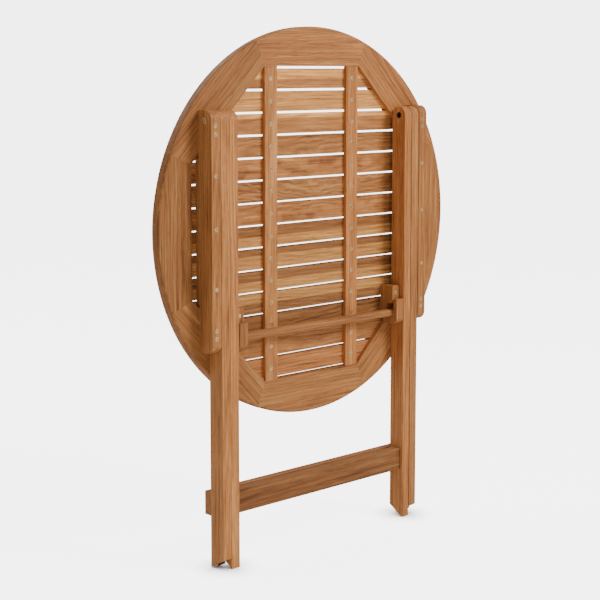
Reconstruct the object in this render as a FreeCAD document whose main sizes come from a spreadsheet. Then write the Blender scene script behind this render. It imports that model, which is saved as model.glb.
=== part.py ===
import FreeCAD, Part
import math
import os
import Sketcher

# Folding round slatted garden table, folded flat and standing on its feet.
# Frame: +Z up, X along the slats, -Y is the side that carries the legs.
# Origin: centre of the box's base. All sizes are millimetres.

V = FreeCAD.Vector

doc = FreeCAD.newDocument("FoldingTable")
sheet = doc.addObject("Spreadsheet::Sheet", "Sheet")

DRIVING = [
    # table top
    ("top_radius", 350),
    ("ring_thick", 20),
    ("ring_apothem", 279.4),
    ("slat_total", 14),
    ("slat_gap", 4),
    ("slat_thick", 12),
    ("batten_wide", 29),
    ("batten_thick", 7),
    ("batten_place", 100),
    ("edge_round", 4),
    # heights and depths in the folded pose
    ("top_face", 27.5),
    ("pivot_height", 778),
    ("top_centre_height", 590),
    ("leg_plane", -10),
    ("fold_angle", 30),
    ("cross_rise", 14),
    # rails
    ("rail_outer", 264.5),
    ("rail_wide", 20),
    ("rail_deep", 35),
    ("rail_half", 206),
    ("rail_land", 125),
    ("rail_round", 16),
    # legs
    ("side_gap", 1.2),
    ("leg_wide", 18),
    ("outer_deep", 34),
    ("inner_deep", 33),
    ("pad_thick", 3),
    ("pad_radius", 7),
    # stretchers
    ("stretcher_tall", 42),
    ("stretcher_thick", 16),
    ("back_stretcher_low", 92),
    ("front_stretcher_low", 95),
    ("front_stretcher_plane", -12.5),
    # latch
    ("hook_wide", 18.5),
    ("hook_gap", 1.6),
    ("hook_back", 8.5),
    ("hook_slot", 18),
    ("hook_low", 22),
    ("hook_finger", 27),
    ("hook_tall", 52),
    ("hook_round", 14),
    ("keeper_face", 24),
    ("keeper_low", 17),
    ("bar_radius", 7.5),
    ("bar_half", 203.5),
    ("bar_rest_gap", 0.3),
    # screws
    ("screw_radius", 2),
    ("screw_head", 4),
    ("head_thick", 1.6),
    ("head_sink", 0.1),
    ("screw_clear", 0.1),
    ("screw_point", 2),
    ("screw_point_radius", 0.4),
    ("screw_slot", 1),
    ("screw_slot_long", 4.4),
    ("screw_slot_deep", 0.8),
    ("pilot_past", 0.5),
    ("batten_screw_bite", 7),
    ("rail_screw_bite", 7),
    ("hook_screw_bite", 1),
    ("hook_screw_rise", 4),
    ("back_screw", 31),
    ("front_screw", 38),
    # pivots
    ("run_fit", 0.05),
    ("thread_fit", 0.02),
    ("sleeve_sink", 0.1),
    ("mid_bolt_sink", 0.2),
    ("end_gap", 0.3),
    ("seat_clear", 0.5),
    ("seat_sink", 0.3),
    ("bolt_radius", 3),
    ("bolt_head", 6),
    ("bolt_head_thick", 2.5),
    ("bolt_chamfer", 0.6),
    ("bolt_short", 4),
    ("socket_radius", 2.3),
    ("socket_deep", 1.8),
    ("mid_socket_deep", 1.2),
    ("sleeve_radius", 5),
    ("flange_radius", 7.5),
    ("flange_thick", 1.5),
    ("mid_bolt_radius", 4),
    ("bush_radius", 6),
    ("bush_bore", 4),
    ("bush_short", 0.5),
    ("washer_thick", 0.8),
    ("washer_clear", 0.4),
    ("washer_radius", 10),
]

DERIVED = [
    ("slat_pitch", "=(2 * ring_apothem - slat_gap) / slat_total"),
    ("slat_wide", "=slat_pitch - slat_gap"),
    ("underside", "=top_face - ring_thick"),
    ("slat_under", "=top_face - slat_thick"),
    ("land_rise", "=ring_thick - slat_thick"),
    ("rail_middle", "=rail_outer - rail_wide / 2"),
    ("rail_inner", "=rail_outer - rail_wide"),
    ("outer_leg_x", "=rail_inner - side_gap - leg_wide / 2"),
    ("inner_leg_x", "=outer_leg_x - side_gap - leg_wide"),
    ("inner_leg_face", "=inner_leg_x - leg_wide / 2"),
    ("cross_height", "=pivot_height / 2 + cross_rise"),
    ("cross_drop", "=pivot_height - cross_height"),
    ("hook_x", "=inner_leg_face - hook_gap - hook_wide / 2"),
    ("slot_rise", "=hook_slot / 2 - bar_radius - bar_rest_gap"),
    ("slot_plane", "=underside - leg_plane"),
    ("screw_hole", "=screw_radius + screw_clear"),
    ("head_hole", "=screw_head + screw_clear"),
    ("head_seat", "=head_thick + head_sink"),
    ("rail_bite_depth", "=ring_thick * 3 / 4 + 2 * pilot_past"),
    ("flange_seat", "=flange_radius + seat_clear"),
    ("flange_depth", "=flange_thick + seat_sink"),
    ("hook_screw_up", "=(keeper_low + hook_tall) / 2 + hook_screw_rise"),
]

NAMES = [name for name, _ in DRIVING + DERIVED]


def fill_sheet():
    row = 1
    for name, number in DRIVING:
        sheet.set("A%d" % row, name)
        sheet.set("B%d" % row, str(number))
        sheet.setAlias("B%d" % row, name)
        row += 1
    doc.recompute()
    for name, formula in DERIVED:
        sheet.set("A%d" % row, name)
        sheet.set("B%d" % row, formula)
        sheet.setAlias("B%d" % row, name)
        row += 1
    doc.recompute()


fill_sheet()


def size(name):
    """A sheet value as a plain number."""
    return float(getattr(sheet, name))


def cell(text):
    """Puts the sheet's name before each alias in a formula written with bare aliases."""
    words = []
    token = ""
    for char in text + " ":
        if char.isalnum() or char in "_.":
            token += char
            continue
        known = token in NAMES
        words.append("Sheet." + token if known else token)
        words.append(char)
        token = ""
    return "".join(words).strip()


# ---- building blocks -------------------------------------------------------------------------


def new_body(label):
    made = doc.addObject("PartDesign::Body", label)
    made.Label = label
    return made


def place(piece, x="0", y="0", z="0"):
    """Binds a piece's position to formulas in the sheet's names."""
    for axis, formula in (("x", x), ("y", y), ("z", z)):
        piece.setExpression("Placement.Base." + axis, cell(formula))
    return piece


def sketch_on(body, role, offset="0"):
    """A sketch on one of the body's own origin planes, moved along that plane's normal."""
    plane = [f for f in body.Origin.OriginFeatures if f.Role == role][0]
    made = body.newObject("Sketcher::SketchObject", body.Name + "_sketch")
    made.AttachmentSupport = (plane, [""])
    made.MapMode = "FlatFace"
    made.setExpression("AttachmentOffset.Base.z", cell(offset))
    return made


def bind(sketch, constraint, formula):
    index = sketch.addConstraint(constraint)
    sketch.setExpression("Constraints[%d]" % index, cell(formula))


def outline(sketch, corners):
    """A closed polygon, each corner held at its two formulas from the sketch's origin."""
    total = len(corners)
    start = [V(10 * math.cos(i * math.tau / total), 10 * math.sin(i * math.tau / total), 0)
             for i in range(total)]
    for i in range(total):
        sketch.addGeometry(Part.LineSegment(start[i], start[(i + 1) % total]), False)
    for i in range(total):
        sketch.addConstraint(Sketcher.Constraint("Coincident", i, 2, (i + 1) % total, 1))
    for i, (across, up) in enumerate(corners):
        bind(sketch, Sketcher.Constraint("DistanceX", -1, 1, i, 1, start[i].x), across)
        bind(sketch, Sketcher.Constraint("DistanceY", -1, 1, i, 1, start[i].y), up)


def circles(sketch, centres, radius):
    """Circles of one radius at the given centres."""
    for index, (across, up) in enumerate(centres):
        circle = Part.Circle(V(30 * index + 1, 1, 0), V(0, 0, 1), 2)
        at = sketch.addGeometry(circle, False)
        bind(sketch, Sketcher.Constraint("DistanceX", -1, 1, at, 3, 1.0), across)
        bind(sketch, Sketcher.Constraint("DistanceY", -1, 1, at, 3, 1.0), up)
        bind(sketch, Sketcher.Constraint("Radius", at, 2.0), radius)


def pad(body, sketch, length, middle=False):
    made = body.newObject("PartDesign::Pad", body.Name + "_pad")
    made.Profile = sketch
    made.Midplane = middle
    made.setExpression("Length", cell(length))
    doc.recompute()
    return made


def bore(body, role, offset, centres, radius, depth=None):
    """Round holes. With a depth they start at the offset plane, and without one they go through."""
    before = body.Shape.Volume
    sketch = sketch_on(body, role, offset)
    circles(sketch, centres, radius)
    made = body.newObject("PartDesign::Pocket", body.Name + "_bore")
    made.Profile = sketch
    made.Midplane = True
    if depth is None:
        made.Type = "ThroughAll"
    else:
        made.setExpression("Length", cell("2 * (" + depth + ")"))
    doc.recompute()
    if not body.Shape.Volume < before - 0.1:
        raise RuntimeError("a bore in %s cuts nothing" % body.Label)


def round_edges(body, radius, wanted):
    """Fillets the edges for which wanted(edge) is true."""
    tip = body.Tip
    names = ["Edge%d" % (i + 1) for i, edge in enumerate(tip.Shape.Edges) if wanted(edge)]
    if not names:
        raise RuntimeError("no edge to round in %s" % body.Label)
    made = body.newObject("PartDesign::Fillet", body.Name + "_round")
    made.Base = (tip, names)
    made.setExpression("Radius", cell(radius))
    doc.recompute()


def middle_of(edge):
    return edge.valueAt((edge.FirstParameter + edge.LastParameter) / 2)


def along(edge, axis):
    """True for a straight edge parallel to an axis, 0 for X, 1 for Y and 2 for Z."""
    if not isinstance(edge.Curve, Part.Line):
        return False
    return abs(abs(edge.tangentAt(edge.FirstParameter)[axis]) - 1) < 1e-6


def mirrored(source, label):
    """The left-hand twin of a right-hand piece."""
    made = doc.addObject("Part::Mirroring", label)
    made.Label = label
    made.Source = source
    made.Base = V(0, 0, 0)
    made.Normal = V(1, 0, 0)
    return made


def both_sides(source, label):
    """One node that holds a right-hand piece and its left-hand twin."""
    twin = mirrored(source, label + "_twin")
    made = doc.addObject("Part::Compound", label)
    made.Label = label
    made.Links = [source, twin]
    return made


nodes = []


def keep(*pieces):
    nodes.extend(pieces)


def pair(source, left_label):
    keep(source, mirrored(source, left_label))


# ---- table top -------------------------------------------------------------------------------

SEGMENTS = 8
HALF_STEP = 180.0 / SEGMENTS

# Rail screws, as heights above the middle of the top. The two at each end bite the ring.
END_SCREWS = (180, 166)
MIDDLE_SCREWS = (96, 6, -96)


def ring_segment(index):
    """One mitred piece of the ring: straight inside, round outside."""
    body = new_body("ring_segment_%d" % (index + 1))
    sketch = sketch_on(body, "XZ_Plane")
    half = math.radians(HALF_STEP)
    inner = size("ring_apothem")
    outer = size("top_radius")
    corner = [
        V(inner, -inner * math.tan(half), 0),
        V(outer * math.cos(half), -outer * math.sin(half), 0),
        V(outer * math.cos(half), outer * math.sin(half), 0),
        V(inner, inner * math.tan(half), 0),
    ]
    sketch.addGeometry(Part.LineSegment(corner[0], corner[1]), False)
    sketch.addGeometry(Part.ArcOfCircle(Part.Circle(V(0, 0, 0), V(0, 0, 1), outer), -half, half), False)
    sketch.addGeometry(Part.LineSegment(corner[2], corner[3]), False)
    sketch.addGeometry(Part.LineSegment(corner[3], corner[0]), False)
    sketch.addConstraint(Sketcher.Constraint("Coincident", 0, 2, 1, 1))
    sketch.addConstraint(Sketcher.Constraint("Coincident", 1, 2, 2, 1))
    sketch.addConstraint(Sketcher.Constraint("Coincident", 2, 2, 3, 1))
    sketch.addConstraint(Sketcher.Constraint("Coincident", 3, 2, 0, 1))
    sketch.addConstraint(Sketcher.Constraint("Coincident", 1, 3, -1, 1))
    slope = "tan(%g deg)" % HALF_STEP
    bind(sketch, Sketcher.Constraint("DistanceX", -1, 1, 0, 1, corner[0].x), "ring_apothem")
    bind(sketch, Sketcher.Constraint("DistanceY", -1, 1, 0, 1, corner[0].y), "-ring_apothem * " + slope)
    bind(sketch, Sketcher.Constraint("DistanceX", -1, 1, 2, 2, corner[3].x), "ring_apothem")
    bind(sketch, Sketcher.Constraint("DistanceY", -1, 1, 2, 2, corner[3].y), "ring_apothem * " + slope)
    bind(sketch, Sketcher.Constraint("Radius", 1, outer), "top_radius")
    bind(sketch, Sketcher.Constraint("DistanceY", -1, 1, 1, 1, corner[1].y),
         "-top_radius * sin(%g deg)" % HALF_STEP)
    bind(sketch, Sketcher.Constraint("DistanceY", -1, 1, 1, 2, corner[2].y),
         "top_radius * sin(%g deg)" % HALF_STEP)
    pad(body, sketch, "ring_thick")
    if index % 2:
        side = 1 if index % 4 == 3 else -1
        centres = [("(rail_middle + %g) * sqrt(0.5)" % up,
                    "%d * (rail_middle - %g) * sqrt(0.5)" % (side, up)) for up in END_SCREWS]
        bore(body, "XZ_Plane", "ring_thick", centres, "screw_hole", "rail_bite_depth")
    round_edges(body, "edge_round",
                lambda edge: isinstance(edge.Curve, Part.Circle) and edge.Curve.Radius > 100)
    body.Placement.Rotation = FreeCAD.Rotation(V(0, 1, 0), -2 * HALF_STEP * index)
    return place(body, "0", "top_face", "top_centre_height")


def slat(index):
    """One slat, its ends cut to the straight inner edges of the ring."""
    body = new_body("slat_%02d" % (index + 1))
    middle = "slat_pitch * ((slat_total - 1) / 2 - %d)" % index
    low = "(%s - slat_wide / 2)" % middle
    high = "(%s + slat_wide / 2)" % middle
    reach = "min(ring_apothem; ring_apothem * sqrt(2) - abs(%s))"
    right = [(reach % low, low), (reach % high, high)]
    bend = size("ring_apothem") * math.tan(math.radians(HALF_STEP))
    centre = size("slat_pitch") * ((size("slat_total") - 1) / 2 - index)
    for side in (1, -1):
        if abs(side * bend - centre) < size("slat_wide") / 2:
            corner_up = "%d * ring_apothem * tan(%g deg)" % (side, HALF_STEP)
            right.insert(1, ("ring_apothem", corner_up))
    left = [("-(" + across + ")", up) for across, up in reversed(right)]
    sketch = sketch_on(body, "XZ_Plane")
    outline(sketch, right + left)
    pad(body, sketch, "slat_thick")
    centres = [("batten_place", middle), ("-batten_place", middle)]
    for up in MIDDLE_SCREWS:
        if abs(up - centre) < size("slat_wide") / 2:
            centres += [("rail_middle", str(up)), ("-rail_middle", str(up))]
    bore(body, "XZ_Plane", "slat_thick", centres, "screw_hole", "batten_screw_bite + pilot_past")
    return place(body, "0", "top_face", "top_centre_height")


def slat_middles():
    return ["slat_pitch * ((slat_total - 1) / 2 - %d)" % i for i in range(int(size("slat_total")))]


def batten():
    """A flat bar across the slats, let in between the ring's top and bottom pieces."""
    body = new_body("batten_right")
    sketch = sketch_on(body, "XZ_Plane")
    outline(sketch, [("-batten_wide / 2", "-ring_apothem"), ("batten_wide / 2", "-ring_apothem"),
                     ("batten_wide / 2", "ring_apothem"), ("-batten_wide / 2", "ring_apothem")])
    pad(body, sketch, "batten_thick")
    centres = [("0", up) for up in slat_middles()]
    bore(body, "XZ_Plane", "0", centres, "screw_hole")
    bore(body, "XZ_Plane", "batten_thick", centres, "head_hole", "head_seat")
    return place(body, "batten_place", "slat_under", "top_centre_height")


def rail():
    """A rail under the top. Its middle stands on the slats and its ends on the ring."""
    body = new_body("rail_right")
    sketch = sketch_on(body, "YZ_Plane")
    outline(sketch, [
        ("-rail_deep", "-rail_half"), ("0", "-rail_half"), ("0", "-rail_land"),
        ("land_rise", "-rail_land"), ("land_rise", "rail_land"), ("0", "rail_land"),
        ("0", "rail_half"), ("-rail_deep", "rail_half"),
    ])
    pad(body, sketch, "rail_wide", middle=True)
    near = -size("rail_deep")
    far_up = size("rail_half") - 1
    round_edges(body, "rail_round", lambda edge: along(edge, 0) and abs(middle_of(edge).y - near) < 0.1
                and abs(middle_of(edge).z) > far_up)
    bore(body, "YZ_Plane", "0", [("leg_plane - underside", "pivot_height - top_centre_height")],
         "bolt_radius + run_fit")
    ups = list(END_SCREWS) + list(MIDDLE_SCREWS) + [-up for up in END_SCREWS]
    centres = [("0", str(up)) for up in ups]
    bore(body, "XZ_Plane", "0", centres, "screw_hole")
    bore(body, "XZ_Plane", "rail_deep", centres, "head_hole", "head_seat")
    return place(body, "rail_middle", "underside", "top_centre_height")


# ---- latch -----------------------------------------------------------------------------------


def latch_hook():
    """The hooked block that cradles the locking bar. Depths run from the ring's underside."""
    body = new_body("latch_hook_right")
    sketch = sketch_on(body, "YZ_Plane")
    slot_near = "-(hook_back + hook_slot)"
    outline(sketch, [
        ("0", "-hook_low"), ("-rail_deep", "-hook_low"), ("-rail_deep", "hook_finger"),
        (slot_near, "hook_finger"), (slot_near, "slot_rise"), ("-hook_back", "slot_rise"),
        ("-hook_back", "hook_tall"), ("land_rise", "hook_tall"), ("land_rise", "1"), ("0", "1"),
    ])
    pad(body, sketch, "hook_wide", middle=True)
    bore(body, "YZ_Plane", "0", [("-hook_back - hook_slot / 2", "slot_rise")], "hook_slot / 2")
    near = -size("rail_deep")
    low = -size("hook_low")
    round_edges(body, "hook_round", lambda edge: along(edge, 0) and abs(middle_of(edge).y - near) < 0.1
                and abs(middle_of(edge).z - low) < 0.1)
    bore(body, "XZ_Plane", "hook_back", [("0", "hook_screw_up")], "screw_hole",
         "hook_back + 2 * hook_screw_bite")
    return place(body, "hook_x", "underside", "cross_height")


def latch_keeper():
    """The small block above the bar that stops it from leaving the slot."""
    body = new_body("latch_keeper_right")
    sketch = sketch_on(body, "YZ_Plane")
    outline(sketch, [("-hook_back", "keeper_low"), ("-keeper_face", "keeper_low"),
                     ("-keeper_face", "hook_tall"), ("-hook_back", "hook_tall")])
    pad(body, sketch, "hook_wide", middle=True)
    near = -size("keeper_face")
    low = size("keeper_low")
    round_edges(body, "hook_back", lambda edge: along(edge, 0) and abs(middle_of(edge).y - near) < 0.1
                and abs(middle_of(edge).z - low) < 0.1)
    centre = [("0", "hook_screw_up")]
    bore(body, "XZ_Plane", "0", centre, "screw_hole")
    bore(body, "XZ_Plane", "keeper_face", centre, "head_hole", "head_seat")
    return place(body, "hook_x", "underside", "cross_height")


def locking_bar():
    made = doc.addObject("Part::Cylinder", "locking_bar")
    made.Label = "locking_bar"
    made.setExpression("Radius", cell("bar_radius"))
    made.setExpression("Height", cell("2 * bar_half"))
    made.Placement.Rotation = FreeCAD.Rotation(V(0, 1, 0), 90)
    return place(made, "-bar_half", "leg_plane", "cross_height")


# ---- legs ------------------------------------------------------------------------------------


def leg(label, deep, lowest_side):
    """A leg with a round head on its pivot and a foot cut level with the ground when it is open."""
    body = new_body(label)
    sketch = sketch_on(body, "YZ_Plane")
    half = "%s / 2" % deep
    rise = "-pivot_height + %s * tan(fold_angle * 1deg)" % deep
    far_foot = "-pivot_height" if lowest_side == "far" else rise
    near_foot = "-pivot_height" if lowest_side == "near" else rise
    outline(sketch, [("-" + half, near_foot), (half, far_foot), (half, "0"), ("-" + half, "0")])
    pad(body, sketch, "leg_wide", middle=True)
    head = sketch_on(body, "YZ_Plane")
    circles(head, [("0", "0")], half)
    pad(body, head, "leg_wide", middle=True)
    return body


def outer_leg():
    body = leg("outer_leg_right", "outer_deep", "far")
    bore(body, "YZ_Plane", "0", [("0", "0")], "sleeve_radius + run_fit")
    bore(body, "YZ_Plane", "-leg_wide / 2", [("0", "0")], "flange_seat", "flange_depth")
    bore(body, "YZ_Plane", "0", [("0", "-cross_drop")], "mid_bolt_radius + run_fit")
    bore(body, "YZ_Plane", "leg_wide / 2", [("0", "-cross_drop")], "flange_seat",
         "flange_depth")
    centres = [("0", "back_stretcher_low + stretcher_tall * %g - pivot_height" % part)
               for part in STRETCHER_SCREWS]
    bore(body, "XZ_Plane", "-outer_deep / 2", centres, "screw_hole",
         "back_screw - stretcher_thick + 2 * pilot_past")
    return place(body, "outer_leg_x", "leg_plane", "pivot_height")


def inner_leg():
    body = leg("inner_leg_right", "inner_deep", "near")
    bore(body, "YZ_Plane", "0", [("0", "0")], "bush_radius + run_fit")
    bore(body, "YZ_Plane", "0", [("0", "-cross_drop")], "sleeve_radius + run_fit")
    bore(body, "YZ_Plane", "-leg_wide / 2", [("0", "-cross_drop")], "flange_seat",
         "flange_depth")
    centres = [("front_stretcher_plane - leg_plane",
                "front_stretcher_low + stretcher_tall * %g - pivot_height" % part)
               for part in STRETCHER_SCREWS]
    bore(body, "YZ_Plane", "0", centres, "screw_hole")
    bore(body, "YZ_Plane", "leg_wide / 2", centres, "head_hole", "head_seat")
    return place(body, "inner_leg_x", "leg_plane", "pivot_height")


STRETCHER_SCREWS = (0.25, 0.75)


def stretcher(label, half_span, low, plane):
    """A flat board that ties two legs, lying in the XZ plane and centred on a Y plane."""
    body = new_body(label)
    sketch = sketch_on(body, "XZ_Plane")
    outline(sketch, [("-(" + half_span + ")", "0"), (half_span, "0"),
                     (half_span, "stretcher_tall"), ("-(" + half_span + ")", "stretcher_tall")])
    pad(body, sketch, "stretcher_thick", middle=True)
    return place(body, "0", plane, low)


def back_stretcher():
    span = "outer_leg_x + leg_wide / 2"
    body = stretcher("back_stretcher", span, "back_stretcher_low",
                     "leg_plane + outer_deep / 2 + stretcher_thick / 2")
    centres = [("%d * outer_leg_x" % side, "stretcher_tall * %g" % part)
               for side in (1, -1) for part in STRETCHER_SCREWS]
    bore(body, "XZ_Plane", "0", centres, "screw_hole")
    bore(body, "XZ_Plane", "-stretcher_thick / 2", centres, "head_hole", "head_seat")
    return body


def front_stretcher():
    body = stretcher("front_stretcher", "inner_leg_face", "front_stretcher_low", "front_stretcher_plane")
    centres = [("0", "stretcher_tall * %g" % part) for part in STRETCHER_SCREWS]
    for side in ("inner_leg_face", "-inner_leg_face"):
        bore(body, "YZ_Plane", side, centres, "screw_hole",
             "front_screw - leg_wide + 4 * pilot_past")
    return body


def glide(label, leg_x, deep, side):
    """A round black pad in the middle of a slanted foot. side is +1 where the far edge is lowest."""
    made = doc.addObject("Part::Cylinder", label)
    made.Label = label
    made.setExpression("Radius", cell("pad_radius"))
    made.setExpression("Height", cell("pad_thick"))
    made.Placement.Rotation = FreeCAD.Rotation(V(1, 0, 0), -size("fold_angle") * side)
    y = "leg_plane - %d * pad_thick * sin(fold_angle * 1deg)" % side
    z = "%s / 2 * tan(fold_angle * 1deg) - pad_thick * cos(fold_angle * 1deg)" % deep
    return place(made, leg_x, y, z)


# ---- turned pieces and fasteners -------------------------------------------------------------


def turned(label, profile):
    """A body of revolution about X. profile lists (along X, radius) corners, all formulas."""
    body = new_body(label)
    sketch = sketch_on(body, "XY_Plane")
    outline(sketch, profile)
    made = body.newObject("PartDesign::Revolution", label + "_turn")
    made.Profile = sketch
    made.ReferenceAxis = (sketch, ["H_Axis"])
    made.Angle = 360
    doc.recompute()
    return body


def hex_socket(body, offset, flat, depth):
    """A six-sided key socket in a bolt's head."""
    before = body.Shape.Volume
    sketch = sketch_on(body, "YZ_Plane", offset)
    corners = []
    for i in range(6):
        turn = "%d * 60deg" % i
        corners.append(("%s * cos(%s)" % (flat, turn), "%s * sin(%s)" % (flat, turn)))
    outline(sketch, corners)
    made = body.newObject("PartDesign::Pocket", body.Name + "_socket")
    made.Profile = sketch
    made.Midplane = True
    made.setExpression("Length", cell("2 * " + depth))
    doc.recompute()
    if not body.Shape.Volume < before:
        raise RuntimeError("the socket in %s cuts nothing" % body.Label)


def top_pivot_bolts():
    """Socket bolt from the rail's outer face into the sleeve nut of the outer leg."""
    reach = "(rail_wide + side_gap + leg_wide - bolt_short)"
    body = turned("top_pivot_bolt", [
        ("bolt_head_thick", "0"), ("bolt_head_thick", "bolt_head - bolt_chamfer"),
        ("bolt_head_thick - bolt_chamfer", "bolt_head"), ("0", "bolt_head"), ("0", "bolt_radius"),
        ("-" + reach, "bolt_radius"), ("-" + reach, "0"),
    ])
    hex_socket(body, "bolt_head_thick", "socket_radius", "socket_deep")
    place(body, "rail_outer", "leg_plane", "pivot_height")
    return both_sides(body, "top_pivot_bolts")


def top_pivot_sleeves():
    """Sleeve nut in the outer leg's top bore, its flange sunk in the leg's inner face."""
    length = "(leg_wide - end_gap)"
    body = turned("top_pivot_sleeve", [
        ("0", "bolt_radius + thread_fit"), ("0", "flange_radius"), ("flange_thick", "flange_radius"),
        ("flange_thick", "sleeve_radius"), (length, "sleeve_radius"), (length, "bolt_radius + thread_fit"),
    ])
    place(body, "outer_leg_x - leg_wide / 2 + sleeve_sink", "leg_plane", "pivot_height")
    return both_sides(body, "top_pivot_sleeves")


def mid_pivot_bolts():
    """Flat-headed bolt of the crossing pivot, its head sunk in the outer leg's outer face."""
    reach = "(leg_wide - 2 * end_gap)"
    body = turned("mid_pivot_bolt", [
        ("0", "0"), ("0", "flange_radius"), ("-flange_thick", "flange_radius"),
        ("-flange_thick", "mid_bolt_radius"), ("-" + reach, "mid_bolt_radius"), ("-" + reach, "0"),
    ])
    hex_socket(body, "0", "socket_radius", "mid_socket_deep")
    place(body, "outer_leg_x + leg_wide / 2 - mid_bolt_sink", "leg_plane", "cross_height")
    return both_sides(body, "mid_pivot_bolts")


def mid_pivot_sleeves():
    """Sleeve nut of the crossing pivot, its flange sunk in the inner leg's inner face."""
    length = "(leg_wide - mid_bolt_sink - sleeve_sink * 2)"
    body = turned("mid_pivot_sleeve", [
        ("0", "mid_bolt_radius"), ("0", "flange_radius"), ("flange_thick", "flange_radius"),
        ("flange_thick", "sleeve_radius"), (length, "sleeve_radius"), (length, "mid_bolt_radius"),
    ])
    place(body, "inner_leg_face + sleeve_sink", "leg_plane", "cross_height")
    return both_sides(body, "mid_pivot_sleeves")


def top_bushes():
    """Black bush that lines the hole in the inner leg's round head."""
    half = "(leg_wide / 2 - bush_short)"
    body = turned("top_bush", [("-" + half, "bush_bore"), (half, "bush_bore"),
                               (half, "bush_radius"), ("-" + half, "bush_radius")])
    place(body, "inner_leg_x", "leg_plane", "pivot_height")
    return both_sides(body, "top_bushes")


def washer(label, hole):
    inside = hole + " + washer_clear"
    return turned(label, [("0", inside), ("washer_thick", inside),
                          ("washer_thick", "washer_radius"), ("0", "washer_radius")])


def leg_washers():
    """Washers on the outer leg: one towards the rail at the top, one towards the inner leg."""
    top = washer("top_washer", "sleeve_radius")
    place(top, "outer_leg_x + leg_wide / 2", "leg_plane", "pivot_height")
    middle = washer("mid_washer", "mid_bolt_radius")
    place(middle, "outer_leg_x - leg_wide / 2 - washer_thick", "leg_plane", "cross_height")
    made = doc.addObject("Part::Compound", "leg_washers")
    made.Label = "leg_washers"
    made.Links = [top, middle, mirrored(top, "top_washer_twin"), mirrored(middle, "mid_washer_twin")]
    return made


def screw_shape(length):
    """One cross-headed wood screw with its head's face at the origin and its point along +Y."""
    along_y = V(0, 1, 0)
    radius = size("screw_radius")
    under_head = size("head_thick")
    point_start = length - size("screw_point")
    head = Part.makeCylinder(size("screw_head"), under_head, V(0, 0, 0), along_y)
    shank = Part.makeCylinder(radius, point_start - under_head, V(0, under_head, 0), along_y)
    point = Part.makeCone(radius, size("screw_point_radius"), size("screw_point"),
                          V(0, point_start, 0), along_y)
    one = head.fuse([shank, point])
    slot = size("screw_slot")
    slot_long = size("screw_slot_long")
    for wide, tall in ((slot_long, slot), (slot, slot_long)):
        one = one.cut(Part.makeBox(wide, size("screw_slot_deep"), tall, V(-wide / 2, 0, -tall / 2)))
    return one


def screws(label, length, spots, turn=None):
    """A group of equal screws, one node. spots are the points of their heads' faces."""
    made = doc.addObject("Part::Feature", label)
    made.Label = label
    solids = []
    for x, y, z in spots:
        one = screw_shape(length)
        if turn is not None:
            one.rotate(V(0, 0, 0), V(0, 0, 1), turn(x))
        one.translate(V(x, y, z))
        solids.append(one)
    made.Shape = Part.makeCompound(solids)
    return made


def batten_screws():
    face = size("slat_under") - size("batten_thick") + size("head_sink")
    middle = size("top_centre_height")
    total = int(size("slat_total"))
    ups = [size("slat_pitch") * ((total - 1) / 2 - i) for i in range(total)]
    spots = [(side * size("batten_place"), face, middle + up) for side in (-1, 1) for up in ups]
    length = size("batten_thick") + size("batten_screw_bite") - size("head_sink")
    return screws("batten_screws", length, spots)


def rail_screws():
    face = size("underside") - size("rail_deep") + size("head_sink")
    middle = size("top_centre_height")
    ups = list(END_SCREWS) + list(MIDDLE_SCREWS) + [-up for up in END_SCREWS]
    length = size("rail_deep") + size("land_rise") + size("rail_screw_bite") - size("head_sink")
    spots = [(side * size("rail_middle"), face, middle + up) for side in (-1, 1) for up in ups]
    return screws("rail_screws", length, spots)


def keeper_screws():
    face = size("underside") - size("keeper_face") + size("head_sink")
    up = size("cross_height") + size("hook_screw_up")
    spots = [(side * size("hook_x"), face, up) for side in (-1, 1)]
    return screws("keeper_screws", size("keeper_face") + size("hook_screw_bite"), spots)


def back_stretcher_screws():
    face = size("leg_plane") + size("outer_deep") / 2 + size("stretcher_thick") - size("head_sink")
    low = size("back_stretcher_low")
    spots = [(side * size("outer_leg_x"), face, low + size("stretcher_tall") * part)
             for side in (-1, 1) for part in STRETCHER_SCREWS]
    return screws("back_stretcher_screws", size("back_screw"), spots, lambda x: 180)


def front_stretcher_screws():
    face = size("inner_leg_x") + size("leg_wide") / 2 - size("head_sink")
    low = size("front_stretcher_low")
    spots = [(side * face, size("front_stretcher_plane"), low + size("stretcher_tall") * part)
             for side in (-1, 1) for part in STRETCHER_SCREWS]
    return screws("front_stretcher_screws", size("front_screw"), spots, lambda x: 90 if x > 0 else -90)


# ---- assembly --------------------------------------------------------------------------------

for number in range(SEGMENTS):
    keep(ring_segment(number))
for number in range(int(size("slat_total"))):
    keep(slat(number))
pair(batten(), "batten_left")
pair(rail(), "rail_left")
pair(latch_hook(), "latch_hook_left")
pair(latch_keeper(), "latch_keeper_left")
keep(locking_bar())
pair(outer_leg(), "outer_leg_left")
pair(inner_leg(), "inner_leg_left")
keep(back_stretcher(), front_stretcher())
pair(glide("outer_glide_right", "outer_leg_x", "outer_deep", 1), "outer_glide_left")
pair(glide("inner_glide_right", "inner_leg_x", "inner_deep", -1), "inner_glide_left")
keep(top_pivot_bolts(), top_pivot_sleeves(), mid_pivot_bolts(), mid_pivot_sleeves())
keep(top_bushes(), leg_washers())
keep(batten_screws(), rail_screws(), keeper_screws(), back_stretcher_screws(), front_stretcher_screws())

doc.recompute()

for item in doc.Objects:
    if "Invalid" in item.State or "Error" in item.State:
        raise RuntimeError("%s failed: %s" % (item.Name, item.State))
for node in nodes:
    if node.Shape.isNull() or not node.Shape.isValid():
        raise RuntimeError("%s has no valid shape" % node.Label)

os.makedirs("parts", exist_ok=True)
for node in nodes:
    node.Shape.exportStep(os.path.join("parts", node.Label + ".step"))
print(len(nodes), "nodes written")
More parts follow.
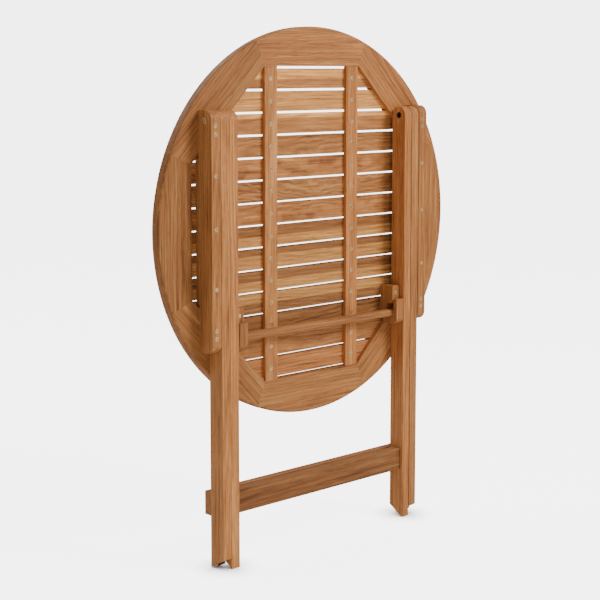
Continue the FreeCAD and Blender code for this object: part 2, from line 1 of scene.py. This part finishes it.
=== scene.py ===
"""Folding round slatted garden table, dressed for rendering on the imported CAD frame.

Metres, +Z up, the legs and the underside of the top face -Y in the folded rest pose.
"""

import math
import random

import bpy
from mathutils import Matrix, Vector


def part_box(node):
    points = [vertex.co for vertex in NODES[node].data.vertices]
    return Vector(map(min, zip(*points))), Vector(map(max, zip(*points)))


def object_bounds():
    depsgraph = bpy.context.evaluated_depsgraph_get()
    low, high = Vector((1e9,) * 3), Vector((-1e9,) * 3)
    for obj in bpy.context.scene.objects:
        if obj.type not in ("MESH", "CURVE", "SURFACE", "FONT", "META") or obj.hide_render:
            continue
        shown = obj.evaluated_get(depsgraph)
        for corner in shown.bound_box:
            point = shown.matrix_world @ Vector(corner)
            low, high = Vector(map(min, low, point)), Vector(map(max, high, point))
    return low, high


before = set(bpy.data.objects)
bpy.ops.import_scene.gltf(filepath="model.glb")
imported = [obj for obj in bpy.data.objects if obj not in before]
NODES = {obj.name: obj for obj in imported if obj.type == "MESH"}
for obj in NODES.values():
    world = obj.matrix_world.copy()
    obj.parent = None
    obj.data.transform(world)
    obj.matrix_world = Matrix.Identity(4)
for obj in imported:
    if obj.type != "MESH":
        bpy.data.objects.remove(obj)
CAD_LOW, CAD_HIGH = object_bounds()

MM = 0.001


# ---- node helpers ----------------------------------------------------------------------------


# Where the Mix node keeps its colour version's factor, two colours and result.
MIX_INPUTS = (0, 6, 7)
MIX_RESULT = 2


class Graph:
    """A material's node tree with short calls for adding and joining nodes."""

    def __init__(self, name):
        self.material = bpy.data.materials.new(name)
        self.material.use_nodes = True
        self.tree = self.material.node_tree
        self.tree.nodes.clear()
        self.shader = self.add("ShaderNodeBsdfPrincipled")
        output = self.add("ShaderNodeOutputMaterial")
        self.join(self.shader, "BSDF", output, "Surface")

    def add(self, kind, **values):
        node = self.tree.nodes.new(kind)
        for key, value in values.items():
            setattr(node, key, value)
        return node

    def join(self, source, output, target, entry):
        self.tree.links.new(source.outputs[output], target.inputs[entry])

    def math(self, operation, a, b):
        """a and b are numbers or (node, output) pairs."""
        node = self.add("ShaderNodeMath", operation=operation)
        for index, item in enumerate((a, b)):
            if isinstance(item, tuple):
                self.join(item[0], item[1], node, index)
            else:
                node.inputs[index].default_value = item
        return (node, 0)

    def mapping(self, source, rotation=(0, 0, 0), location=(0, 0, 0), scale=(1, 1, 1)):
        node = self.add("ShaderNodeMapping")
        node.inputs["Rotation"].default_value = rotation
        node.inputs["Location"].default_value = location
        node.inputs["Scale"].default_value = scale
        self.join(source[0], source[1], node, "Vector")
        return (node, "Vector")

    def noise(self, source, scale, detail, rough):
        node = self.add("ShaderNodeTexNoise")
        node.inputs["Scale"].default_value = scale
        node.inputs["Detail"].default_value = detail
        node.inputs["Roughness"].default_value = rough
        self.join(source[0], source[1], node, "Vector")
        return (node, "Fac")

    def ramp(self, source, stops):
        node = self.add("ShaderNodeValToRGB")
        elements = node.color_ramp.elements
        while len(elements) < len(stops):
            elements.new(0.5)
        for element, (place, colour) in zip(elements, stops):
            element.position = place
            element.color = (*colour, 1.0)
        self.join(source[0], source[1], node, "Fac")
        return (node, "Color")

    def mix(self, kind, factor, a, b):
        """Mixes two colours. factor is a number or a (node, output) pair, a and b pairs or colours."""
        node = self.add("ShaderNodeMix", data_type="RGBA", blend_type=kind)
        sockets = [node.inputs[index] for index in MIX_INPUTS]
        for socket, item in zip(sockets, (factor, a, b)):
            if isinstance(item, tuple) and hasattr(item[0], "outputs"):
                self.tree.links.new(item[0].outputs[item[1]], socket)
            elif isinstance(item, tuple):
                socket.default_value = (*item, 1.0)
            else:
                socket.default_value = item
        return (node, MIX_RESULT)

    def bump(self, height, distance, strength):
        node = self.add("ShaderNodeBump")
        node.inputs["Distance"].default_value = distance
        node.inputs["Strength"].default_value = strength
        self.join(height[0], height[1], node, "Height")
        self.join(node, "Normal", self.shader, "Normal")


# ---- materials -------------------------------------------------------------------------------

WOOD_DARK = (0.205, 0.068, 0.020)
WOOD_MID = (0.425, 0.167, 0.050)
WOOD_LIGHT = (0.600, 0.298, 0.104)
SAPWOOD = (1.88, 2.15, 2.00)
GRAIN_ALONG_X = 0.0
GRAIN_ALONG_Z = 90.0

# Noise scales along and across the grain, in features per metre.
WARP_SCALE = (5, 16, 16)
STREAK_SCALE = (5.0, 190, 190)
FIBRE_SCALE = (14, 520, 520)
PORE_SCALE = (34, 900, 900)
CLOUD_SCALE = (5.0, 34, 34)

# How far the rings wander for a figure of 1, and what each pattern adds to the tone.
WANDER = 0.011
RING_SHARE = 0.06
FIGURE_SHARE = 0.06
STREAK_SHARE = 0.85
CLOUD_SHARE = 0.28
TONE_SHIFT = -0.02
THREAD_STRENGTH = 0.75
PORE_STRENGTH = 0.55
BAND_EDGE = 0.4 * MM


def tinted(colour, value, warmth):
    """A wood colour, lighter or darker, and redder or yellower."""
    red, green, blue = colour
    return (red * value * (1 + warmth), green * value, blue * value * (1 - warmth))


def hardwood(name, node, grain_angle, value, figure, sapwood):
    """Oiled hardwood for one board. grain_angle turns the grain in the XZ plane from +X to +Z.

    figure is how far the growth rings wander. sapwood is a paler band along the board's face, as
    its two limits in metres across from the board's middle, or None.
    """
    dice = random.Random(name)
    graph = Graph(name)
    low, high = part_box(node)
    centre = NODES[node].matrix_world.inverted() @ ((low + high) / 2)
    angle = math.radians(grain_angle)
    turned = Vector((centre.x * math.cos(angle) + centre.z * math.sin(angle), centre.y,
                     -centre.x * math.sin(angle) + centre.z * math.cos(angle)))
    place = (graph.add("ShaderNodeTexCoord"), "Object")
    board = graph.mapping(place, rotation=(0, angle, 0), location=-turned)

    # growth rings round a pith beside the board, warped along the grain
    apart = graph.mapping(board, location=(dice.uniform(-30, 30), dice.uniform(-9, 9), 0),
                          scale=WARP_SCALE)
    warp = graph.add("ShaderNodeTexNoise")
    warp.inputs["Scale"].default_value = 1.0
    warp.inputs["Detail"].default_value = 3.0
    warp.inputs["Roughness"].default_value = 0.55
    graph.join(apart[0], apart[1], warp, "Vector")
    centred = graph.add("ShaderNodeVectorMath", operation="SUBTRACT")
    centred.inputs[1].default_value = (0.5, 0.5, 0.5)
    graph.join(warp, "Color", centred, 0)
    swing = graph.add("ShaderNodeVectorMath", operation="SCALE")
    swing.inputs["Scale"].default_value = WANDER * figure
    graph.join(centred, 0, swing, 0)
    moved = graph.add("ShaderNodeVectorMath", operation="ADD")
    graph.join(board[0], board[1], moved, 0)
    graph.join(swing, 0, moved, 1)
    pith = dice.uniform(0.035, 0.110)
    side = math.radians(dice.uniform(50, 130)) * dice.choice((-1, 1))
    tilt = (0, math.radians(dice.uniform(-3, 3)), math.radians(dice.uniform(-2, 2)))
    log = graph.mapping((moved, 0), rotation=tilt,
                        location=(0, pith * math.sin(side), pith * math.cos(side)))
    rings = graph.add("ShaderNodeTexWave", wave_type="RINGS", rings_direction="X", wave_profile="SIN")
    rings.inputs["Scale"].default_value = dice.uniform(70, 120)
    rings.inputs["Distortion"].default_value = 0.8 + 0.6 * figure
    rings.inputs["Detail"].default_value = 2.0
    rings.inputs["Detail Scale"].default_value = 0.8
    graph.join(log[0], log[1], rings, "Vector")

    # streaks, fibres and pores drawn out along the grain
    shift = (dice.uniform(-60, 60), dice.uniform(-60, 60), dice.uniform(-60, 60))
    streak = graph.noise(graph.mapping(board, scale=STREAK_SCALE, location=shift), 1.0, 4.0, 0.72)
    fibre = graph.noise(graph.mapping(board, scale=FIBRE_SCALE, location=shift), 1.0, 3.0, 0.7)
    pores = graph.noise(graph.mapping(board, scale=PORE_SCALE, location=shift), 1.0, 1.0, 0.5)
    cloud = graph.noise(graph.mapping(board, scale=CLOUD_SCALE, location=shift), 1.0, 2.0, 0.5)

    ring_share = RING_SHARE + FIGURE_SHARE * figure
    tone = graph.math("MULTIPLY", graph.math("SUBTRACT", (rings, "Fac"), 0.5), ring_share)
    tone = graph.math("ADD", tone, TONE_SHIFT)
    tone = graph.math("ADD", tone, graph.math("MULTIPLY", streak, STREAK_SHARE))
    tone = graph.math("ADD", tone, graph.math("MULTIPLY", cloud, CLOUD_SHARE))
    warmth = dice.uniform(-0.035, 0.035)
    value = value * dice.uniform(0.93, 1.07)
    stops = [
        (0.33, tinted(WOOD_DARK, value, warmth)),
        (0.47, tinted(WOOD_MID, value * 0.90, warmth)),
        (0.60, tinted(WOOD_MID, value * 1.12, warmth)),
        (0.76, tinted(WOOD_LIGHT, value, warmth)),
    ]
    colour = graph.ramp(tone, stops)
    thread = graph.ramp(fibre, [(0.32, (0.66, 0.60, 0.54)), (0.60, (1.06, 1.06, 1.06))])
    colour = graph.mix("MULTIPLY", THREAD_STRENGTH, colour, thread)
    pit = graph.ramp(pores, [(0.30, (0.45, 0.36, 0.30)), (0.40, (1.0, 1.0, 1.0))])
    colour = graph.mix("MULTIPLY", PORE_STRENGTH, colour, pit)
    if sapwood:
        colour = pale_band(graph, board, sapwood, colour)
    graph.join(colour[0], colour[1], graph.shader, "Base Color")

    rough = graph.math("ADD", graph.math("MULTIPLY", fibre, 0.20), 0.46)
    graph.join(rough[0], rough[1], graph.shader, "Roughness")
    graph.shader.inputs["Specular IOR Level"].default_value = 0.22
    relief = graph.math("ADD", fibre, graph.math("MULTIPLY", (rings, "Fac"), 0.5))
    relief = graph.math("ADD", relief, graph.math("MULTIPLY", pores, 0.6))
    graph.bump(relief, 0.25 * MM, 0.45)
    return graph.material


def pale_band(graph, place, limits, colour):
    """Lightens the stretch of a board's face between two lines that run with the grain."""
    across = graph.add("ShaderNodeSeparateXYZ")
    graph.join(place[0], place[1], across, 0)
    edges = []
    for limit, first, last in ((limits[0], 0.0, 1.0), (limits[1], 1.0, 0.0)):
        edge = graph.add("ShaderNodeMapRange", interpolation_type="SMOOTHSTEP")
        edge.inputs["From Min"].default_value = limit - BAND_EDGE
        edge.inputs["From Max"].default_value = limit + BAND_EDGE
        edge.inputs["To Min"].default_value = first
        edge.inputs["To Max"].default_value = last
        graph.join(across, "Z", edge, "Value")
        edges.append((edge, "Result"))
    inside = graph.math("MULTIPLY", edges[0], edges[1])
    return graph.mix("MULTIPLY", inside, colour, SAPWOOD)


def metal(name, colour, tarnish, rough):
    """Plated metal with a little tarnish and fine scratches."""
    graph = Graph(name)
    place = (graph.add("ShaderNodeTexCoord"), "Object")
    patch = graph.noise(place, 260.0, 3.0, 0.6)
    shade = graph.ramp(patch, [(0.35, tarnish), (0.65, colour)])
    graph.join(shade[0], shade[1], graph.shader, "Base Color")
    graph.shader.inputs["Metallic"].default_value = 1.0
    scratch = graph.noise(place, 1800.0, 2.0, 0.6)
    glint = graph.math("ADD", graph.math("MULTIPLY", scratch, 0.25), rough)
    graph.join(glint[0], glint[1], graph.shader, "Roughness")
    graph.bump(scratch, 0.05 * MM, 0.3)
    return graph.material


def black_part(name, rough, grain):
    """Matt black plastic or rubber with a fine moulded grain."""
    graph = Graph(name)
    place = (graph.add("ShaderNodeTexCoord"), "Object")
    fine = graph.noise(place, grain, 2.0, 0.6)
    shade = graph.ramp(fine, [(0.3, (0.012, 0.012, 0.013)), (0.7, (0.030, 0.030, 0.032))])
    graph.join(shade[0], shade[1], graph.shader, "Base Color")
    graph.shader.inputs["Roughness"].default_value = rough
    graph.bump(fine, 0.1 * MM, 0.4)
    return graph.material


# ---- dressing the CAD nodes ------------------------------------------------------------------

FLAT_ANGLE = math.radians(1.5)
SHARP_ANGLE = math.radians(38)


def soften(obj, width, segments=3):
    """Joins the mesh's seams, clears flat triangles and rounds its sharp edges."""
    weld = obj.modifiers.new("join", "WELD")
    weld.merge_threshold = 0.01 * MM
    clear = obj.modifiers.new("clear", "DECIMATE")
    clear.decimate_type = "DISSOLVE"
    clear.angle_limit = FLAT_ANGLE
    bevel = obj.modifiers.new("round", "BEVEL")
    bevel.width = width
    bevel.segments = segments
    bevel.limit_method = "ANGLE"
    bevel.angle_limit = SHARP_ANGLE
    bevel.use_clamp_overlap = True
    normals = obj.modifiers.new("normals", "WEIGHTED_NORMAL")
    normals.keep_sharp = True
    for polygon in obj.data.polygons:
        polygon.use_smooth = True


def dress(node, material, width, segments=3):
    obj = NODES[node]
    obj.data.materials.clear()
    obj.data.materials.append(material)
    for polygon in obj.data.polygons:
        polygon.material_index = 0
    soften(obj, width, segments)


RING_SEGMENTS = 8
RING_FIGURE = 0.7
FRAME_FIGURE = 0.8
TOP_ROUND = 1.2 * MM

# Each slat from the top down: its lightness, its figure, and its pale band in millimetres.
SLATS = (
    (1.25, 0.5, (-1, 30)), (0.86, 0.8, (-30, 30)), (1.27, 0.6, (10, 30)), (1.01, 1.8, None),
    (1.26, 2.0, None), (0.95, 2.6, None), (0.98, 2.0, None), (0.74, 0.7, (-30, 0)),
    (0.72, 0.6, (-30, 6)), (0.72, 0.8, (-30, 0)), (0.68, 1.4, (0, 30)), (0.64, 1.8, None),
    (1.08, 1.4, None), (1.15, 0.8, None),
)

# Each ring segment's lightness, from the right-hand one anticlockwise.
RING_VALUES = (0.98, 0.98, 0.98, 0.88, 0.80, 0.88, 0.98, 0.98)

# Upright boards: name, lightness of the left and the right one, edge rounding in millimetres.
UPRIGHT = (
    ("batten", 1.24, 1.24, 1.4),
    ("rail", 1.05, 0.97, 1.0),
    # the legs' left and right lightness is partly board tone and partly painted light: the left outer
    # leg is lightened as painted light falling from the left, and the right inner leg is darkened as
    # painted shade on its shaded side
    ("outer_leg", 1.26, 1.0, 1.0),
    ("inner_leg", 1.42, 1.18, 1.0),
    ("latch_hook", 0.9, 0.9, 1.2),
    ("latch_keeper", 1.0, 1.0, 1.5),
)

# Level boards: name, lightness, edge rounding in millimetres.
LEVEL = (
    ("back_stretcher", 0.85, 1.5),
    ("front_stretcher", 0.60, 1.8),
    ("locking_bar", 0.93, 1.2),
)


def dress_wood(node, grain_angle, value, figure, width, sapwood=None):
    material = hardwood("wood_" + node, node, grain_angle, value, figure, sapwood)
    dress(node, material, width)


def dress_top():
    for index in range(RING_SEGMENTS):
        angle = 360 / RING_SEGMENTS * index + GRAIN_ALONG_Z
        dress_wood("ring_segment_%d" % (index + 1), angle, RING_VALUES[index], RING_FIGURE, TOP_ROUND)
    for index, (value, figure, band) in enumerate(SLATS):
        limits = (band[0] * MM, band[1] * MM) if band else None
        dress_wood("slat_%02d" % (index + 1), GRAIN_ALONG_X, value, figure, TOP_ROUND, limits)


def dress_frame():
    for part, left, right, width in UPRIGHT:
        for side, value in (("left", left), ("right", right)):
            dress_wood("%s_%s" % (part, side), GRAIN_ALONG_Z, value, FRAME_FIGURE, width * MM)
    for node, value, width in LEVEL:
        dress_wood(node, GRAIN_ALONG_X, value, FRAME_FIGURE, width * MM)


def dress_hardware():
    brass = metal("brass_plate", (0.84, 0.66, 0.38), (0.52, 0.37, 0.16), 0.30)
    zinc = metal("zinc_plate", (0.62, 0.62, 0.63), (0.45, 0.45, 0.46), 0.30)
    rubber = black_part("black_rubber", 0.75, 900.0)
    plastic = black_part("black_plastic", 0.50, 1500.0)
    screws = [name for name in NODES if name.endswith("_screws")]
    for node in screws + ["top_pivot_bolts"]:
        dress(node, brass, 0.25 * MM, 2)
    for node in ("top_pivot_sleeves", "mid_pivot_bolts", "mid_pivot_sleeves", "leg_washers"):
        dress(node, zinc, 0.2 * MM, 2)
    for side in ("left", "right"):
        for part in ("outer_glide_", "inner_glide_"):
            dress(part + side, rubber, 0.8 * MM)
    dress("top_bushes", plastic, 0.4 * MM, 2)


# ---- studio ----------------------------------------------------------------------------------


FLOOR_HALF = 9.0
FLOOR_DROP = 0.2 * MM
FLOOR_GLOW = 4.6
CONTACT_REACH = 0.05
CONTACT_DEPTH = 2.5
SKY_LIGHT = 0.36
SKY_SEEN = 5.0


def floor():
    graph = Graph("studio_floor")
    place = (graph.add("ShaderNodeTexCoord"), "Object")
    faint = graph.noise(place, 3.0, 2.0, 0.5)
    shade = graph.ramp(faint, [(0.3, (0.90, 0.90, 0.895)), (0.7, (0.93, 0.93, 0.925))])
    graph.join(shade[0], shade[1], graph.shader, "Base Color")
    graph.shader.inputs["Roughness"].default_value = 0.9
    graph.shader.inputs["Specular IOR Level"].default_value = 0.1
    graph.shader.inputs["Emission Color"].default_value = (1, 1, 1, 1)
    # the floor's glow shows to the camera but lights nothing, and it fades in a painted contact shadow
    # where the table stands close above it
    shadow = graph.add("ShaderNodeAmbientOcclusion", samples=8)
    shadow.inputs["Distance"].default_value = CONTACT_REACH
    path = graph.add("ShaderNodeLightPath")
    open_sky = graph.math("POWER", (shadow, "AO"), CONTACT_DEPTH)
    seen = graph.math("MULTIPLY", open_sky, FLOOR_GLOW)
    glow = graph.math("MULTIPLY", seen, (path, "Is Camera Ray"))
    graph.join(glow[0], glow[1], graph.shader, "Emission Strength")
    half = FLOOR_HALF
    below = CAD_LOW.z - FLOOR_DROP
    mesh = bpy.data.meshes.new("studio_floor")
    corners = [(x, y, below) for x, y in ((-half, -half), (half, -half), (half, half), (-half, half))]
    mesh.from_pydata(corners, [], [(0, 1, 2, 3)])
    mesh.materials.append(graph.material)
    obj = bpy.data.objects.new("studio_floor", mesh)
    bpy.context.scene.collection.objects.link(obj)


def area_light(name, azimuth, elevation, distance, side, power, colour):
    """A square soft box aimed at the table's middle, placed by azimuth and elevation."""
    light = bpy.data.lights.new(name, "AREA")
    light.shape = "SQUARE"
    light.size = side
    light.energy = power
    light.color = colour
    obj = bpy.data.objects.new(name, light)
    obj.location = middle() + direction(azimuth, elevation) * distance
    obj.rotation_mode = "QUATERNION"
    obj.rotation_quaternion = (middle() - obj.location).to_track_quat("-Z", "Y")
    bpy.context.scene.collection.objects.link(obj)


def middle():
    return (CAD_LOW + CAD_HIGH) / 2


def direction(azimuth, elevation):
    a = math.radians(azimuth)
    e = math.radians(elevation)
    return Vector((math.sin(a) * math.cos(e), -math.cos(a) * math.cos(e), math.sin(e)))


def sky():
    """White surroundings: brighter to the eye than as a light."""
    world = bpy.data.worlds.new("studio")
    world.use_nodes = True
    nodes = world.node_tree.nodes
    links = world.node_tree.links
    nodes.clear()
    output = nodes.new("ShaderNodeOutputWorld")
    mix = nodes.new("ShaderNodeMixShader")
    path = nodes.new("ShaderNodeLightPath")
    for index, strength in ((1, SKY_LIGHT), (2, SKY_SEEN)):
        back = nodes.new("ShaderNodeBackground")
        back.inputs["Color"].default_value = (1, 1, 1, 1)
        back.inputs["Strength"].default_value = strength
        links.new(back.outputs[0], mix.inputs[index])
    links.new(path.outputs["Is Camera Ray"], mix.inputs[0])
    links.new(mix.outputs[0], output.inputs[0])
    bpy.context.scene.world = world


def lights():
    area_light("key", 30, 36, 3.2, 1.1, 89, (1.0, 0.98, 0.94))
    area_light("fill", -50, 15, 3.6, 2.6, 13, (1.0, 0.98, 0.96))
    area_light("back", 190, 45, 3.4, 2.4, 60, (1.0, 1.0, 1.0))


# The camera looks at AIM, given from the table's middle, along the azimuth and elevation.
AIM = (-0.0317, 0.0075, 0.0947)
VIEW_AZIMUTH = -42.76
VIEW_ELEVATION = 6.61
VIEW_DISTANCE = 2.568


def camera():
    data = bpy.data.cameras.new("camera")
    data.sensor_width = 36.0
    data.lens = 85.51
    data.shift_y = -0.106
    obj = bpy.data.objects.new("camera", data)
    aim = middle() + Vector(AIM)
    obj.location = aim + direction(VIEW_AZIMUTH, VIEW_ELEVATION) * VIEW_DISTANCE
    obj.rotation_mode = "QUATERNION"
    obj.rotation_quaternion = (aim - obj.location).to_track_quat("-Z", "Y")
    bpy.context.scene.collection.objects.link(obj)
    bpy.context.scene.camera = obj


dress_top()
dress_frame()
dress_hardware()
floor()
sky()
lights()
camera()
